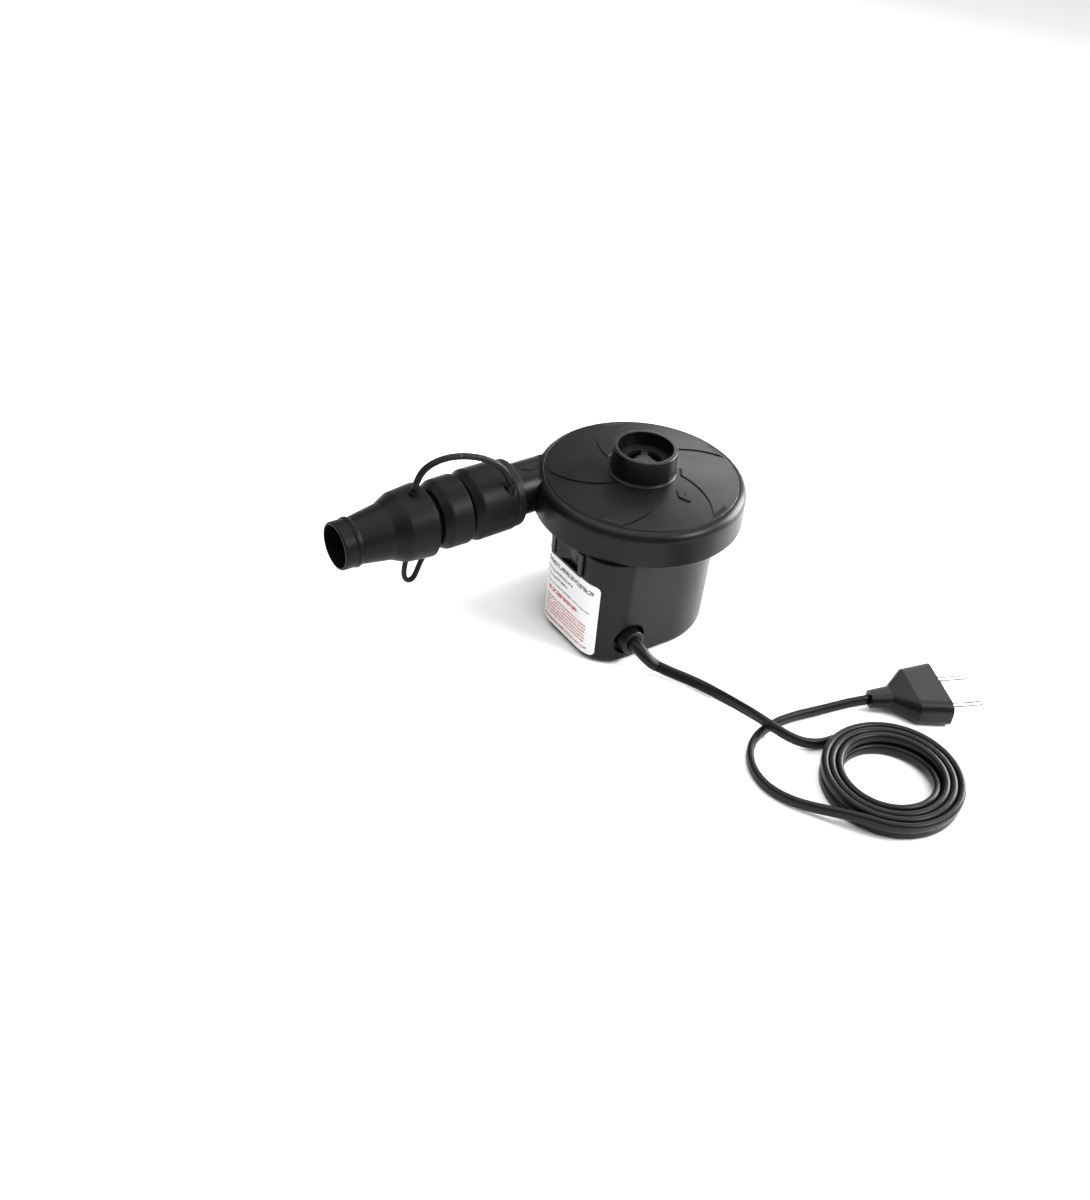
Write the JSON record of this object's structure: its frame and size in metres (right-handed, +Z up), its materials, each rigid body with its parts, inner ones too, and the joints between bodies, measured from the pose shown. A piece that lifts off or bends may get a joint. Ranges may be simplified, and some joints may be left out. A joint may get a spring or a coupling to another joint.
{
  "type": "electric air mattress pump",
  "caption": "Mains-powered electric air pump for inflatables: round blower head on a black motor housing, nested nozzle adapters on rubber tethers, rocker switch, coiled lead with plug.",
  "frame": {"origin": "middle of the motor housing's flat underside", "axes": "+Z up along the impeller axis, -X the way the outlet blows, -Y the side the mains lead leaves from"},
  "size_m": [0.2568, 0.2528, 0.1035],
  "materials": {
    "housing_shell": "moulded black plastic with a fine satin grain",
    "nozzle_plastic": "moulded charcoal plastic, satin",
    "strap_rubber": "soft moulded rubber, dull",
    "grille_plastic": "moulded grey plastic, dull",
    "screw_steel": "plated steel",
    "impeller_plastic": "moulded white nylon",
    "motor_steel": "pressed steel",
    "magnet_ferrite": "sintered ferrite",
    "copper_wire": "enamelled copper",
    "carbon": "pressed carbon",
    "brass_tabs": "stamped brass",
    "board_laminate": "green circuit laminate",
    "component_black": "moulded epoxy",
    "switch_plastic": "moulded black plastic with a soft gloss",
    "steel_pin": "ground steel",
    "label_film": "printed white film",
    "cord_rubber": "extruded and moulded black cable plastic",
    "plug_metal": "nickel plated",
    "wire_sleeve": "insulated hook-up wire"
  },
  "bodies": {
    "pump_body": {"motor_housing": "housing_shell", "volute_base": "housing_shell", "volute_cover": "housing_shell", "spigot_gasket": "strap_rubber", "intake_grille": "grille_plastic", "housing_screws": "screw_steel", "cover_screws": "screw_steel", "motor_screws": "screw_steel", "front_bearing": "screw_steel", "rear_bearing": "screw_steel", "front_bracket": "motor_steel", "rear_bracket": "motor_steel", "motor_can": "motor_steel", "stator_magnets": "magnet_ferrite", "carbon_brushes": "carbon", "brush_holders": "brass_tabs", "switch_terminals": "brass_tabs", "rectifier_board": "board_laminate", "board_capacitor": "component_black", "rectifier_diodes": "component_black", "switch_body": "switch_plastic", "rocker_pin": "steel_pin", "rating_label": "label_film", "cord_gland": "cord_rubber", "strain_relief": "cord_rubber", "power_cord": "cord_rubber", "cord_coil": "cord_rubber", "cord_tail": "cord_rubber", "plug_body": "cord_rubber", "plug_pins": "plug_metal", "internal_wires": "wire_sleeve"},
    "rotor": {"impeller": "impeller_plastic", "impeller_nut": "screw_steel", "motor_shaft": "screw_steel", "armature_core": "motor_steel", "windings": "copper_wire", "commutator": "copper_wire"},
    "rocker": {"rocker": "switch_plastic"},
    "adapter_1": {"adapter_1": "nozzle_plastic"},
    "adapter_2": {"adapter_2": "nozzle_plastic"},
    "adapter_3": {"adapter_3": "nozzle_plastic", "strap_a": "strap_rubber", "strap_b": "strap_rubber"}
  },
  "joints": [
    {"name": "rotor_spin", "type": "hinge", "parent": "pump_body", "child": "rotor", "pos_m": [0, 0, 0.05], "axis": [0, 0, 1], "continuous": true},
    {"name": "rocker_tilt", "type": "hinge", "parent": "pump_body", "child": "rocker", "pos_m": [-0.0426, -0.0085, 0.0524], "axis": [0, 0, -1], "range_deg": [0, 20]},
    {"name": "adapter_1_slide", "type": "slide", "parent": "pump_body", "child": "adapter_1", "axis": [-1, 0, 0], "range_m": [0, 0.018]},
    {"name": "adapter_2_slide", "type": "slide", "parent": "adapter_1", "child": "adapter_2", "axis": [-1, 0, 0], "range_m": [0, 0.014], "deforming": ["strap_a"]},
    {"name": "adapter_3_slide", "type": "slide", "parent": "adapter_2", "child": "adapter_3", "axis": [-1, 0, 0], "range_m": [0, 0.014], "deforming": ["strap_b"]}
  ]
}
